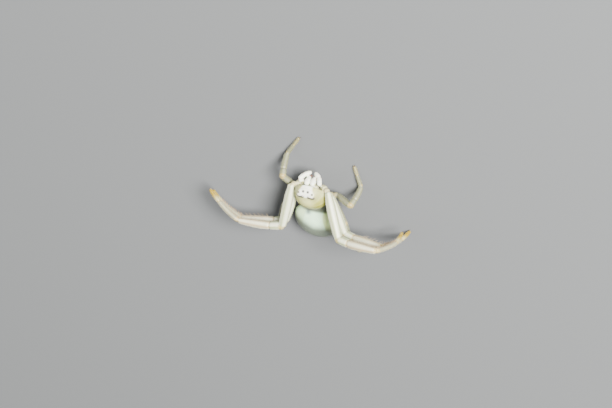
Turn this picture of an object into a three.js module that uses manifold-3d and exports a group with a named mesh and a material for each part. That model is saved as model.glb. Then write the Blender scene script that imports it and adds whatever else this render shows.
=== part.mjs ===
// Crab spider, a still life-size model of an adult female, in millimetres, +Z up.
// The spider faces -Y, +X is its left side, and it rests on the plane z = 0.
import * as THREE from "three";
import { mergeVertices } from "three/addons/utils/BufferGeometryUtils.js";
import Module from "manifold-3d";

const wasm = await Module();
wasm.setup();

// Driving dimensions of the front body, in its own frame: origin at the middle of the carapace margin.
const CARAPACE_HALF_WIDTH = 1.75;
const CARAPACE_HALF_LENGTH = 1.78;
const CARAPACE_HEIGHT = 1.42;
const CARAPACE_BELLY = 0.12;
const CLYPEUS_EDGE = 0.4;
const BODY_PITCH = 14;
const BODY_HEIGHT = 2.45;

// Driving dimensions of the abdomen, level with the ground.
const ABDOMEN_MIDDLE = new THREE.Vector3(0, 3.6, 1.27);
const ABDOMEN_HALF_WIDTH = 2.5;
const ABDOMEN_FRONT = 1.6;
const ABDOMEN_REAR = 2.17;
const ABDOMEN_HALF_HEIGHT = 1.34;

// Clearances that neighbouring pieces keep.
const JOINT_GAP = 0.24;
const EYE_GAP = 0.035;

// Facets.
const LIMB_SIDES = 10;
const CARAPACE_FACETS = [40, 24];
const ABDOMEN_FACETS = [32, 20];

const IVORY = 0xeee9d8;
const PEARL = 0xe6eadb;
const CREAM = 0xe2d3a4;
const TIP = 0xd9b878;
const EYE_DARK = 0x2b2622;

const degrees = THREE.MathUtils.degToRad;
const smooth = THREE.MathUtils.smoothstep;

function skin(color, roughness) {
  return new THREE.MeshStandardMaterial({ color, roughness, metalness: 0 });
}

// Closed solids and their joins.

function welded(geometry) {
  const bare = geometry.clone();
  bare.deleteAttribute("normal");
  bare.deleteAttribute("uv");
  return mergeVertices(bare, 1e-4);
}

function toSolid(geometry) {
  const closed = welded(geometry);
  const vertProperties = new Float32Array(closed.attributes.position.array);
  const triVerts = new Uint32Array(closed.index.array);
  return new wasm.Manifold(new wasm.Mesh({ numProp: 3, vertProperties, triVerts }));
}

function largestBody(solid) {
  const bodies = solid.decompose();
  return bodies.reduce((best, body) => (body.volume() > best.volume() ? body : best));
}

function toGeometry(solid) {
  const mesh = largestBody(solid).getMesh();
  const geometry = new THREE.BufferGeometry();
  geometry.setAttribute("position", new THREE.BufferAttribute(new Float32Array(mesh.vertProperties), 3));
  geometry.setIndex(new THREE.BufferAttribute(new Uint32Array(mesh.triVerts), 1));
  return geometry;
}

function reshape(geometry, move) {
  const closed = welded(geometry);
  const place = closed.attributes.position;
  const point = new THREE.Vector3();
  for (let i = 0; i < place.count; i += 1) {
    point.fromBufferAttribute(place, i);
    move(point);
    place.setXYZ(i, point.x, point.y, point.z);
  }
  return closed;
}

// Limbs: a turned form between two joints, swollen in the middle and rounded at both ends.

function limbProfile(length, radii) {
  const points = [new THREE.Vector2(0, 0)];
  const rounding = Math.min(0.45 * radii[0], 0.16);
  points.push(new THREE.Vector2(radii[0] * 0.72, rounding * 0.35));
  const last = radii.length - 1;
  radii.forEach((radius, i) => {
    points.push(new THREE.Vector2(radius, rounding + ((length - 2 * rounding) * i) / last));
  });
  points.push(new THREE.Vector2(radii[last] * 0.68, length - rounding * 0.3));
  points.push(new THREE.Vector2(0, length));
  return points;
}

function limbGeometry(from, to, radii, startTrim, endTrim) {
  const axis = to.clone().sub(from);
  const whole = axis.length();
  axis.normalize();
  const length = whole - startTrim - endTrim;
  const start = from.clone().addScaledVector(axis, startTrim);
  const turned = new THREE.LatheGeometry(limbProfile(length, radii), LIMB_SIDES);
  const turn = new THREE.Quaternion().setFromUnitVectors(new THREE.Vector3(0, 1, 0), axis);
  const placed = new THREE.Matrix4().compose(start, turn, new THREE.Vector3(1, 1, 1));
  return welded(turned).applyMatrix4(placed);
}

function flattenOnGround(geometry) {
  return reshape(geometry, (point) => {
    point.z = Math.max(point.z, 0);
  });
}

// Front body.

const spider = new THREE.Group();
const frontBody = new THREE.Group();
frontBody.position.set(0, 0, BODY_HEIGHT);
frontBody.rotation.x = -degrees(BODY_PITCH);
spider.add(frontBody);
frontBody.updateMatrix();

function grounded(x, y, z) {
  return new THREE.Vector3(x, y, z).applyMatrix4(frontBody.matrix);
}

function add(parent, name, geometry, material) {
  const mesh = new THREE.Mesh(geometry, material);
  mesh.name = name;
  parent.add(mesh);
  return mesh;
}

// The carapace is a dome, steep and narrow in front, sloping behind, its margin rising to the clypeus.
function shapeCarapace(point) {
  const { x, y, z } = point;
  const front = smooth(-y, 0.35, 1);
  const rear = smooth(y, 0.1, 1);
  const squared = 1 + 0.08 * smooth(-y, 0.2, 0.85);
  const crown = 1 + 0.2 * smooth(-y, 0.25, 0.8) - 0.24 * rear;
  point.x = x * CARAPACE_HALF_WIDTH * squared * (1 - 0.08 * rear);
  point.y = y * CARAPACE_HALF_LENGTH * (y < 0 ? 1 + 0.04 * z : 1);
  const dome = z > 0 ? z * CARAPACE_HEIGHT * crown : z * CARAPACE_BELLY;
  point.z = dome + CLYPEUS_EDGE * front * (z > 0 ? 1 - z : 1);
}

// Eye places on the carapace: half distance from the middle, height and bead radius, by row.
const EYES = [
  { name: "eye_front_inner", side: 0.25, forward: -1.52, up: 1.05, radius: 0.085, hill: 0 },
  { name: "eye_front_outer", side: 0.68, forward: -1.34, up: 1.12, radius: 0.1, hill: 0.08 },
  { name: "eye_rear_inner", side: 0.3, forward: -1.05, up: 1.33, radius: 0.08, hill: 0 },
  { name: "eye_rear_outer", side: 0.84, forward: -1.0, up: 1.18, radius: 0.1, hill: 0.1 },
];
const EYE_RISE = 0.3;
const TUBERCLE_REACH = 0.34;
const HEAD_MIDDLE = new THREE.Vector3(0, -0.4, 0.4);

function carapaceSurface() {
  const dome = new THREE.SphereGeometry(1, CARAPACE_FACETS[0], CARAPACE_FACETS[1]);
  dome.rotateX(Math.PI / 2);
  const shaped = reshape(dome, shapeCarapace);
  return reshape(shaped, (point) => {
    for (const eye of EYES) {
      const seat = new THREE.Vector3(Math.sign(point.x) * eye.side, eye.forward, eye.up);
      const near = point.distanceTo(seat) / TUBERCLE_REACH;
      const outward = point.clone().sub(HEAD_MIDDLE).normalize();
      point.addScaledVector(outward, eye.hill * Math.exp(-near * near));
    }
  });
}

const carapaceMesh = new THREE.Mesh(carapaceSurface(), new THREE.MeshBasicMaterial({ side: THREE.DoubleSide }));
const seatRay = new THREE.Raycaster();

function eyeSeat(eye, sign) {
  const toward = new THREE.Vector3(sign * eye.side, eye.forward, eye.up).sub(HEAD_MIDDLE).normalize();
  seatRay.set(HEAD_MIDDLE.clone().addScaledVector(toward, 6), toward.clone().negate());
  const surface = seatRay.intersectObject(carapaceMesh)[0].point;
  return surface.addScaledVector(toward, EYE_RISE * eye.radius);
}

function bead(radius, facets) {
  return new THREE.SphereGeometry(radius, facets[0], facets[1]);
}

function buildCarapaceAndEyes() {
  let solid = toSolid(carapaceMesh.geometry);
  for (const eye of EYES) {
    for (const [side, sign] of [["left", 1], ["right", -1]]) {
      const seat = eyeSeat(eye, sign);
      const cup = bead(eye.radius + EYE_GAP, [8, 6]).translate(seat.x, seat.y, seat.z);
      solid = solid.subtract(toSolid(cup));
      const lens = welded(bead(eye.radius, [10, 8]));
      const ball = add(frontBody, `${eye.name}_${side}`, lens, skin(EYE_DARK, 0.1));
      ball.position.copy(seat);
    }
  }
  add(frontBody, "carapace", toGeometry(solid), skin(IVORY, 0.35));
}

// The sternum is a flat shield under the carapace, broader in front.
const STERNUM = { halfWidth: 0.62, halfLength: 0.98, halfThickness: 0.29, back: 0.02, drop: 0.66, taper: 0.18 };

function buildSternum() {
  const plate = reshape(new THREE.SphereGeometry(1, 16, 10), (point) => {
    const taper = 1 - STERNUM.taper * point.y;
    point.set(
      point.x * STERNUM.halfWidth * taper,
      point.y * STERNUM.halfLength + STERNUM.back,
      point.z * STERNUM.halfThickness - STERNUM.drop,
    );
  });
  add(frontBody, "sternum", plate, skin(IVORY, 0.45));
}

function buildPedicel() {
  const from = grounded(0, 1.16, -0.43);
  const to = ABDOMEN_MIDDLE.clone().add(new THREE.Vector3(0, -ABDOMEN_FRONT + 0.02, 0.3));
  add(spider, "pedicel", limbGeometry(from, to, [0.2, 0.18, 0.2], 0, 0.16), skin(CREAM, 0.5));
}

// Mouthparts: the chelicerae hang under the clypeus and the palps arch round them.
const CHELICERA = { side: 0.33, forward: -1.52, top: 0.12, bottom: -0.92, radii: [0.2, 0.27, 0.27, 0.2, 0.13] };
const PALP_BASE = [0.84, -1.2, -0.42];
const PALP_KNEE = [1.08, -1.9, -0.16];
const PALP_TIP = [0.2, -2.02, -1.22];
const PALP_RADII = { femur: [0.17, 0.22, 0.22], tarsus: [0.21, 0.23, 0.19, 0.1] };

function buildMouthparts() {
  for (const [side, sign] of [["left", 1], ["right", -1]]) {
    const jaw = CHELICERA;
    const root = new THREE.Vector3(sign * jaw.side, jaw.forward, jaw.top);
    const tip = new THREE.Vector3(sign * (jaw.side - 0.06), jaw.forward - 0.16, jaw.bottom);
    add(frontBody, `chelicera_${side}`, limbGeometry(root, tip, jaw.radii, 0, 0), skin(IVORY, 0.25));
    const base = new THREE.Vector3(sign * PALP_BASE[0], PALP_BASE[1], PALP_BASE[2]);
    const knee = new THREE.Vector3(sign * PALP_KNEE[0], PALP_KNEE[1], PALP_KNEE[2]);
    const end = new THREE.Vector3(sign * PALP_TIP[0], PALP_TIP[1], PALP_TIP[2]);
    const half = JOINT_GAP / 2;
    const upper = limbGeometry(base, knee, PALP_RADII.femur, 0, half);
    const lower = limbGeometry(knee, end, PALP_RADII.tarsus, half, 0);
    add(frontBody, `palp_${side}_femur`, upper, skin(IVORY, 0.4));
    add(frontBody, `palp_${side}_tarsus`, lower, skin(IVORY, 0.4));
  }
}

// Abdomen: egg-shaped, broadest just before its middle, resting on a small flat.

function shapeAbdomen(point) {
  const { x, y, z } = point;
  const shoulder = 1 + 0.1 * smooth(-y, 0, 0.8);
  point.x = ABDOMEN_MIDDLE.x + x * ABDOMEN_HALF_WIDTH * shoulder;
  point.y = ABDOMEN_MIDDLE.y + y * (y < 0 ? ABDOMEN_FRONT : ABDOMEN_REAR);
  point.z = Math.max(0, ABDOMEN_MIDDLE.z + z * ABDOMEN_HALF_HEIGHT);
}

function buildAbdomen() {
  const egg = new THREE.SphereGeometry(1, ABDOMEN_FACETS[0], ABDOMEN_FACETS[1]);
  egg.rotateX(Math.PI / 2);
  add(spider, "abdomen", reshape(egg, shapeAbdomen), skin(PEARL, 0.25));
}

const SPINNERET_LENGTH = 0.5;
const SPINNERET_RADII = [0.16, 0.15, 0.07];
const SPINNERET_HEIGHT = 0.78;
const SPINNERET_SIDE = 0.11;
const SPINNERET_LIFTS = [0.09, -0.1];

function buildSpinnerets() {
  const drop = (ABDOMEN_MIDDLE.z - SPINNERET_HEIGHT) / ABDOMEN_HALF_HEIGHT;
  const rim = ABDOMEN_REAR * Math.sqrt(1 - drop ** 2);
  const root = new THREE.Vector3(0, ABDOMEN_MIDDLE.y + rim + 0.16, SPINNERET_HEIGHT);
  let cluster = null;
  for (let i = 0; i < 4; i += 1) {
    const side = i % 2 ? -SPINNERET_SIDE : SPINNERET_SIDE;
    const lift = i < 2 ? SPINNERET_LIFTS[0] : SPINNERET_LIFTS[1];
    const from = root.clone().add(new THREE.Vector3(side, 0, lift));
    const to = from.clone().add(new THREE.Vector3(side * 0.6, SPINNERET_LENGTH, lift * 0.4 - 0.05));
    const cone = toSolid(limbGeometry(from, to, SPINNERET_RADII, 0, 0));
    cluster = cluster ? cluster.add(cone) : cone;
  }
  add(spider, "spinnerets", toGeometry(cluster), skin(CREAM, 0.5));
}

// Legs. A pair shares its hip, its segment lengths and its thicknesses; each leg has its own turns.
// A turn is the heading from +X towards +Y and the rise above level, in degrees.
const PAIRS = {
  1: {
    coxa: [[0.95, -0.8, -0.62], [1.98, -1.21, 0.15]],
    lengths: [4.9, 4.85, 2.75, 1.54],
    radii: [
      [0.34, 0.48, 0.5, 0.48, 0.4], [0.42, 0.44, 0.42, 0.36, 0.29], [0.27, 0.26, 0.24], [0.23, 0.21, 0.15],
    ],
  },
  2: {
    coxa: [[1.1, -0.2, -0.64], [1.98, -0.12, -0.28]],
    lengths: [4.35, 4.82, 2.64, 1.5],
    radii: [
      [0.33, 0.46, 0.48, 0.45, 0.37], [0.38, 0.42, 0.4, 0.34, 0.28], [0.27, 0.26, 0.24], [0.22, 0.2, 0.15],
    ],
  },
  3: {
    coxa: [[1.05, 0.42, -0.66], [2.33, 0.59, -1.13]],
    lengths: [2.55, 2.5, 2.32],
    radii: [[0.28, 0.34, 0.35, 0.32], [0.32, 0.32, 0.29, 0.25], [0.23, 0.21, 0.17]],
  },
  4: {
    coxa: [[0.75, 1.0, -0.66], [1.72, 1.43, -1.05]],
    lengths: [2.6, 2.41, 2.27],
    radii: [[0.28, 0.34, 0.35, 0.32], [0.32, 0.32, 0.29, 0.25], [0.23, 0.21, 0.17]],
  },
};
const COXA_RADII = [0.24, 0.3, 0.3];
const SEGMENTS = {
  4: ["femur", "tibia", "metatarsus", "tarsus"],
  3: ["femur", "tibia", "tarsus"],
};
const FOOT_HEIGHT = 0.13;
const SHARP_BEND_TRIM = 0.75;

const LEGS = [
  { side: "left", pair: 1, turns: [[79.5, 11], [5, 2], [-36.5, -6], [-41.5, -14]] },
  { side: "right", pair: 1, turns: [[114.5, 23.5], [-171.5, 16.5], [159, -64], [-102, -79]] },
  { side: "left", pair: 2, turns: [[74, 0.5], [7, 6], [-30.5, -4], [-42.5, -13]] },
  { side: "right", pair: 2, turns: [[109.5, 4], [-174, 16.5], [155, -62.5], [-147.5, -77]], foot: true },
  { side: "left", pair: 3, turns: [[-70.5, 34.5], [-74, -57.5], [-123, -10]], foot: true },
  { side: "right", pair: 3, turns: [[-174, 37.5], [-101.5, -72.5], [-70.5, -5]], foot: true },
  { side: "left", pair: 4, turns: [[41.5, 2], [69, -6], [41.5, -10]], foot: true },
  { side: "right", pair: 4, turns: [[120, 10.5], [95, -19.5], [110.5, -16]], foot: true },
];

function heading(turn, rise) {
  const level = Math.cos(degrees(rise));
  return new THREE.Vector3(
    level * Math.cos(degrees(turn)),
    level * Math.sin(degrees(turn)),
    Math.sin(degrees(rise)),
  );
}

// The joints of a leg from hip to tip. The last segment of a standing leg drops just to the ground.
function legJoints(leg) {
  const pair = PAIRS[leg.pair];
  const sign = leg.side === "left" ? 1 : -1;
  const [, hip] = pair.coxa;
  const joints = [grounded(sign * hip[0], hip[1], hip[2])];
  leg.turns.forEach(([turn, rise], i) => {
    const start = joints[i];
    const length = pair.lengths[i];
    const isFoot = leg.foot && i === leg.turns.length - 1;
    const slope = isFoot ? THREE.MathUtils.radToDeg(Math.asin((FOOT_HEIGHT - start.z) / length)) : rise;
    joints.push(start.clone().addScaledVector(heading(turn, slope), length));
  });
  return joints;
}

// Each end of a segment stops short of its joint, the more so the sharper the leg bends there.
function jointTrims(joints, radii) {
  const trims = [JOINT_GAP / 2];
  for (let i = 1; i < joints.length - 1; i += 1) {
    const before = joints[i].clone().sub(joints[i - 1]);
    const after = joints[i + 1].clone().sub(joints[i]);
    const bend = before.angleTo(after) / Math.PI;
    trims.push(JOINT_GAP / 2 + SHARP_BEND_TRIM * radii[i][0] * smooth(bend, 0.25, 0.7));
  }
  trims.push(0);
  return trims;
}

function buildLeg(leg) {
  const pair = PAIRS[leg.pair];
  const sign = leg.side === "left" ? 1 : -1;
  const name = `leg_${leg.side}_${leg.pair}`;
  const [inner] = pair.coxa;
  const joints = legJoints(leg);
  const trims = jointTrims(joints, pair.radii);
  const coxaStart = grounded(sign * inner[0], inner[1], inner[2]);
  add(spider, `${name}_coxa`, limbGeometry(coxaStart, joints[0], COXA_RADII, 0, trims[0]), skin(IVORY, 0.4));
  const segments = SEGMENTS[leg.turns.length];
  segments.forEach((segment, i) => {
    const isLast = i === segments.length - 1;
    const limb = limbGeometry(joints[i], joints[i + 1], pair.radii[i], trims[i], trims[i + 1]);
    const shape = isLast && leg.foot ? flattenOnGround(limb) : limb;
    add(spider, `${name}_${segment}`, shape, skin(isLast ? TIP : IVORY, 0.4));
  });
}

buildCarapaceAndEyes();
buildSternum();
buildPedicel();
buildMouthparts();
buildAbdomen();
buildSpinnerets();
LEGS.forEach(buildLeg);

// The origin is the middle of the footprint.
spider.updateMatrixWorld(true);
const reach = new THREE.Box3().setFromObject(spider, true);
const footprint = reach.getCenter(new THREE.Vector3());
const model = new THREE.Group();
spider.position.set(-footprint.x, -footprint.y, 0);
model.add(spider);

export default model;
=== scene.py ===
# Crab spider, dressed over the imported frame. Shapes are worked out in millimetres on the ground
# plane z = 0, facing -Y, and brought to metres in the frame when each piece is made.
import math

import bpy
import numpy as np
from mathutils import Matrix, Vector


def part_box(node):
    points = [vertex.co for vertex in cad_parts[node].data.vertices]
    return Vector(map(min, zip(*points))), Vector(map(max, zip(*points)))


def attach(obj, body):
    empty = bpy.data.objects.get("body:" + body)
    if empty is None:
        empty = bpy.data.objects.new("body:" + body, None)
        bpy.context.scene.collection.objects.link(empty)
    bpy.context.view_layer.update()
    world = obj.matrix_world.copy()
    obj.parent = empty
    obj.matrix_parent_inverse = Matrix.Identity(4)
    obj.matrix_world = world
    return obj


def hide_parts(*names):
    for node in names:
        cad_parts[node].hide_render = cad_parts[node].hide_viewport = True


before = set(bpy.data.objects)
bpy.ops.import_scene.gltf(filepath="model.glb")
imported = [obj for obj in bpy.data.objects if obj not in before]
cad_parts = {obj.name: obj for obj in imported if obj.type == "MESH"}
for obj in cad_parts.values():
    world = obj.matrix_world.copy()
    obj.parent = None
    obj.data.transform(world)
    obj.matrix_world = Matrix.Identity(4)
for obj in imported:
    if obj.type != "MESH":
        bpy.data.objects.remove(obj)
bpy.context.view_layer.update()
MM = 0.001

# How fine the skin is, and what share of the listed hairs grows.
VOXEL = 0.045
FUZZ_SHARE = 1.0

# Driving dimensions, as in the construction.
BODY_PITCH = math.radians(14)
BODY_HEIGHT = 2.45
CARAPACE_HALF_WIDTH = 1.75
CARAPACE_HALF_LENGTH = 1.78
CARAPACE_HEIGHT = 1.42
CARAPACE_BELLY = 0.12
CLYPEUS_EDGE = 0.4
ABDOMEN_MIDDLE = np.array([0, 3.6, 1.27])
ABDOMEN_HALF_WIDTH = 2.5
ABDOMEN_FRONT = 1.6
ABDOMEN_REAR = 2.17
ABDOMEN_HALF_HEIGHT = 1.34

# The frame's origin is the middle of the footprint: the abdomen's box tells how far that is from the
# body axis.
ABDOMEN_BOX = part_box("abdomen")
SHIFT = np.array([
    (ABDOMEN_BOX[0].x + ABDOMEN_BOX[1].x) / 2,
    ABDOMEN_BOX[1].y - (ABDOMEN_MIDDLE[1] + ABDOMEN_REAR) * MM,
    0,
])

rng = np.random.default_rng(7)


# Small helpers for points, directions and colours; lengths are in millimetres.

def unit(v):
    v = np.asarray(v, float)
    return v / np.maximum(np.linalg.norm(v, axis=-1, keepdims=True), 1e-12)


def smooth(x, low, high):
    """0 up to low, 1 from high on and an even rise between."""
    t = np.clip((np.asarray(x, float) - low) / (high - low), 0, 1)
    return t * t * (3 - 2 * t)


def grounded(p):
    """A point of the pitched front body, brought to the ground frame."""
    p = np.asarray(p, float)
    c, s = math.cos(BODY_PITCH), math.sin(BODY_PITCH)
    y, z = p[..., 1], p[..., 2]
    return np.stack([p[..., 0], y * c + z * s, BODY_HEIGHT + z * c - y * s], -1)


def in_body(p):
    """The inverse of grounded."""
    p = np.asarray(p, float)
    c, s = math.cos(BODY_PITCH), math.sin(BODY_PITCH)
    z = p[..., 2] - BODY_HEIGHT
    return np.stack([p[..., 0], p[..., 1] * c - z * s, p[..., 1] * s + z * c], -1)


def mirrored(p, sign):
    """A point of the left side, with a sign of -1 brought to the right side."""
    return np.array([sign * p[0], p[1], p[2]])


def across(v, axis):
    """The part of v that is square to the axis, as a unit vector."""
    return unit(v - np.dot(v, axis) * axis)


def heading(turn, rise):
    """A direction from its turn from +X towards +Y and its rise above level, in degrees."""
    turn, rise = math.radians(turn), math.radians(rise)
    return np.array([math.cos(rise) * math.cos(turn), math.cos(rise) * math.sin(turn), math.sin(rise)])


def linear(red, green, blue):
    """A colour given as 0 to 255 screen values, made linear."""
    value = np.array([red, green, blue]) / 255
    return np.where(value <= 0.04045, value / 12.92, ((value + 0.055) / 1.055) ** 2.4)


# Meshes.

def new_object(name, points, faces):
    mesh = bpy.data.meshes.new(name)
    placed = np.asarray(points) * MM + SHIFT
    mesh.from_pydata([tuple(p) for p in placed], [], [tuple(int(i) for i in f) for f in faces])
    mesh.validate()
    mesh.update()
    mesh.polygons.foreach_set("use_smooth", [True] * len(mesh.polygons))
    piece = bpy.data.objects.new(name, mesh)
    bpy.context.scene.collection.objects.link(piece)
    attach(piece, "root")
    return piece


class Soup:
    """Closed forms gathered into one mesh."""

    def __init__(self):
        self.points = []
        self.faces = []
        self.count = 0

    def add(self, points, faces):
        self.points.append(np.asarray(points, float))
        self.faces += [tuple(i + self.count for i in f) for f in faces]
        self.count += len(points)

    def arrays(self):
        return np.vstack(self.points), self.faces


def rings(centres, radii, sides, flat=1.0, up=(0, 0, 1)):
    """A closed form of elliptic rings along a path; flat is the height of a ring over its width."""
    centres = np.asarray(centres, float)
    along = unit(np.gradient(centres, axis=0))
    side = unit(np.cross(along, np.asarray(up, float)))
    top = np.cross(side, along)
    turn = np.linspace(0, 2 * math.pi, sides, endpoint=False)
    points = [centres[0]]
    for c, s, t, r in zip(centres, side, top, radii):
        points += list(c + r * (np.cos(turn)[:, None] * s + flat * np.sin(turn)[:, None] * t))
    points.append(centres[-1])
    faces = []
    count = len(centres)
    for k in range(sides):
        n = (k + 1) % sides
        faces.append((0, 1 + n, 1 + k))
        for i in range(count - 1):
            a, b = 1 + i * sides, 1 + (i + 1) * sides
            faces.append((a + k, a + n, b + n, b + k))
        last = 1 + (count - 1) * sides
        faces.append((last + k, last + n, len(points) - 1))
    return points, faces


# Limbs: how far the rounding of an end runs past its cap, and the least radius of a ring.
CAP_STRETCH = 1.2
THINNEST = 0.02


def rounded(t, cap):
    """0 at t = 0, rising like a quarter circle to 1 within the cap."""
    return np.sqrt(np.clip(1 - (1 - np.clip(t / cap, 0, 1)) ** 2, 0, 1))


def swell(t, radii, cap):
    """Radius along a limb, from evenly spaced radii, rounded off within the cap at both ends."""
    return np.interp(t, np.linspace(0, 1, len(radii)), radii) * rounded(t, cap) * rounded(1 - t, cap)


def limb(soup, start, end, radii, bow=(0, 0, 0), flat=1.0, up=(0, 0, 1), sides=20, steps=26, cap=0.12):
    """One limb segment from joint to joint; bow is how far its middle stands off the straight line."""
    start, end = np.asarray(start, float), np.asarray(end, float)
    length = np.linalg.norm(end - start)
    ease = (1 - np.cos(np.linspace(0, math.pi, steps))) / 2
    t = np.clip(ease, 0.004, 0.996)
    centres = start + (end - start) * t[:, None] + np.asarray(bow, float) * (4 * t * (1 - t))[:, None]
    r = np.maximum(swell(t, radii, cap / length * CAP_STRETCH), THINNEST)
    soup.add(*rings(centres, r, sides, flat, up))


# Front body forms. Each eye has its place on the carapace, its radius, the height of the hill under it
# and how dark the skin round it is.
EYES = {
    "front_inner": {"side": 0.25, "forward": -1.52, "up": 1.05, "radius": 0.085, "hill": 0.0, "rim": 1.0},
    "front_outer": {"side": 0.68, "forward": -1.34, "up": 1.12, "radius": 0.1, "hill": 0.1, "rim": 0.3},
    "rear_inner": {"side": 0.3, "forward": -1.05, "up": 1.33, "radius": 0.08, "hill": 0.0, "rim": 0.6},
    "rear_outer": {"side": 0.84, "forward": -1.0, "up": 1.18, "radius": 0.1, "hill": 0.13, "rim": 0.5},
}
TUBERCLE_REACH = 0.34
HEAD_MIDDLE = np.array([0, -0.4, 0.4])
# Low swellings and furrows across the face: height on the carapace, how far they stand out, half width.
FACE_RELIEF = ((0.52, 0.05, 0.7), (0.74, -0.03, 0.62), (0.92, 0.04, 0.55))
RELIEF_HEIGHT = 0.09


def ball(rows, columns):
    """Unit sphere points and faces with the poles on Z."""
    points = [(0, 0, 1)]
    for i in range(1, rows):
        lat = math.pi * i / rows
        for j in range(columns):
            lon = 2 * math.pi * j / columns
            points.append((math.sin(lat) * math.cos(lon), math.sin(lat) * math.sin(lon), math.cos(lat)))
    points.append((0, 0, -1))
    faces = []
    for j in range(columns):
        n = (j + 1) % columns
        faces.append((0, 1 + j, 1 + n))
        for i in range(rows - 2):
            a, b = 1 + i * columns, 1 + (i + 1) * columns
            faces.append((a + j, b + j, b + n, a + n))
        last = 1 + (rows - 2) * columns
        faces.append((last + j, len(points) - 1, last + n))
    return np.array(points), faces


def carapace_points(p):
    """Points of a unit sphere brought to the carapace: steep and narrow in front, sloping behind."""
    x, y, z = p[:, 0], p[:, 1], p[:, 2]
    front = smooth(-y, 0.35, 1)
    rear = smooth(y, 0.1, 1)
    squared = 1 + 0.08 * smooth(-y, 0.2, 0.85)
    crown = 1 + 0.2 * smooth(-y, 0.25, 0.8) - 0.24 * rear
    out = np.empty_like(p)
    out[:, 0] = x * CARAPACE_HALF_WIDTH * squared * (1 - 0.08 * rear)
    out[:, 1] = y * CARAPACE_HALF_LENGTH * np.where(y < 0, 1 + 0.04 * z, 1)
    out[:, 2] = np.where(z > 0, z * CARAPACE_HEIGHT * crown, z * CARAPACE_BELLY)
    out[:, 2] += CLYPEUS_EDGE * front * np.where(z > 0, 1 - z, 1)
    for eye in EYES.values():
        seat = np.stack([np.sign(out[:, 0]) * eye["side"], np.full(len(out), eye["forward"]),
                         np.full(len(out), eye["up"])], -1)
        near = np.linalg.norm(out - seat, axis=1) / TUBERCLE_REACH
        out += unit(out - HEAD_MIDDLE) * (eye["hill"] * np.exp(-near ** 2))[:, None]
    for up, depth, wide in FACE_RELIEF:
        across_face = np.exp(-(out[:, 0] / wide) ** 4) * smooth(-out[:, 1], 1.0, 1.3)
        out[:, 1] -= depth * across_face * np.exp(-((out[:, 2] - up) / RELIEF_HEIGHT) ** 2)
    return out


def abdomen_points(p):
    """Points of a unit sphere brought to the abdomen, broadest just before its middle, flat below."""
    x, y, z = p[:, 0], p[:, 1], p[:, 2]
    shoulder = 1 + 0.1 * smooth(-y, 0, 0.8)
    out = np.empty_like(p)
    out[:, 0] = x * ABDOMEN_HALF_WIDTH * shoulder
    out[:, 1] = ABDOMEN_MIDDLE[1] + y * np.where(y < 0, ABDOMEN_FRONT, ABDOMEN_REAR)
    out[:, 2] = np.maximum(0, ABDOMEN_MIDDLE[2] + z * ABDOMEN_HALF_HEIGHT)
    return out


# Legs, as in the construction: joints from a hip, segment lengths by pair and turns by leg. The last
# length of the hind pairs is shared by metatarsus and tarsus. The radii are those of the femur, tibia,
# metatarsus and tarsus, evenly spaced from root to tip.
PAIRS = {
    1: {
        "coxa": [(0.95, -0.8, -0.62), (1.98, -1.21, 0.15)],
        "patella": 1.35,
        "lengths": [4.9, 4.85, 2.75, 1.54],
        "radii": [[0.32, 0.48, 0.51, 0.48, 0.41], [0.43, 0.45, 0.43, 0.37, 0.3], [0.27, 0.25, 0.23],
                  [0.22, 0.2, 0.15]],
    },
    2: {
        "coxa": [(1.1, -0.2, -0.64), (1.98, -0.12, -0.28)],
        "patella": 1.3,
        "lengths": [4.35, 4.82, 2.64, 1.5],
        "radii": [[0.32, 0.46, 0.49, 0.46, 0.38], [0.39, 0.43, 0.41, 0.35, 0.29], [0.27, 0.25, 0.23],
                  [0.22, 0.2, 0.15]],
    },
    3: {
        "coxa": [(1.05, 0.42, -0.66), (2.33, 0.59, -1.13)],
        "patella": 0.75,
        "lengths": [2.55, 2.5, 2.32],
        "radii": [[0.28, 0.35, 0.36, 0.33], [0.33, 0.33, 0.3, 0.26], [0.23, 0.21, 0.19], [0.18, 0.185, 0.15]],
    },
    4: {
        "coxa": [(0.75, 1.0, -0.66), (1.72, 1.43, -1.05)],
        "patella": 0.75,
        "lengths": [2.6, 2.41, 2.27],
        "radii": [[0.28, 0.35, 0.36, 0.33], [0.33, 0.33, 0.3, 0.26], [0.23, 0.21, 0.19], [0.18, 0.185, 0.15]],
    },
}
COXA_RADII = [0.27, 0.32, 0.3]
COXA_SHARE = 0.66
TROCHANTER_START = 0.6
TROCHANTER_RADII = [0.25, 0.29, 0.27]
KNEE_LIFT = 0.12
HIND_METATARSUS_SHARE = 0.58
# How thick the hind feet count when the skin's points are shared out between the segments.
HIND_FOOT_THICKNESS = {"metatarsus": 0.18, "tarsus": 0.155}
# How far the middle of a segment stands off the straight line between its joints.
FEMUR_BOW = 0.05
TIBIA_BOW = 0.06
METATARSUS_BOW = 0.11
TARSUS_BOW = 0.04
# How far neighbouring segments run into each other, and how high a standing foot's tip lies.
OVERLAP = 0.03
FOOT_HEIGHT = 0.13
LEGS = [
    {"side": "left", "pair": 1, "turns": [(79.5, 11), (5, 2), (-36.5, -6), (-41.5, -14)]},
    {"side": "right", "pair": 1, "turns": [(114.5, 23.5), (-171.5, 16.5), (159, -64), (-102, -79)]},
    {"side": "left", "pair": 2, "turns": [(74, 0.5), (7, 6), (-30.5, -4), (-42.5, -13)]},
    {"side": "right", "pair": 2, "turns": [(109.5, 4), (-174, 16.5), (155, -62.5), (-147.5, -77)]},
    {"side": "left", "pair": 3, "turns": [(-70.5, 34.5), (-74, -57.5), (-123, -10)]},
    {"side": "right", "pair": 3, "turns": [(-174, 37.5), (-101.5, -72.5), (-70.5, -5)]},
    {"side": "left", "pair": 4, "turns": [(41.5, 2), (69, -6), (41.5, -10)]},
    {"side": "right", "pair": 4, "turns": [(120, 10.5), (95, -19.5), (110.5, -16)]},
]
STANDING = {("right", 2), ("left", 3), ("right", 3), ("left", 4), ("right", 4)}


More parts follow.
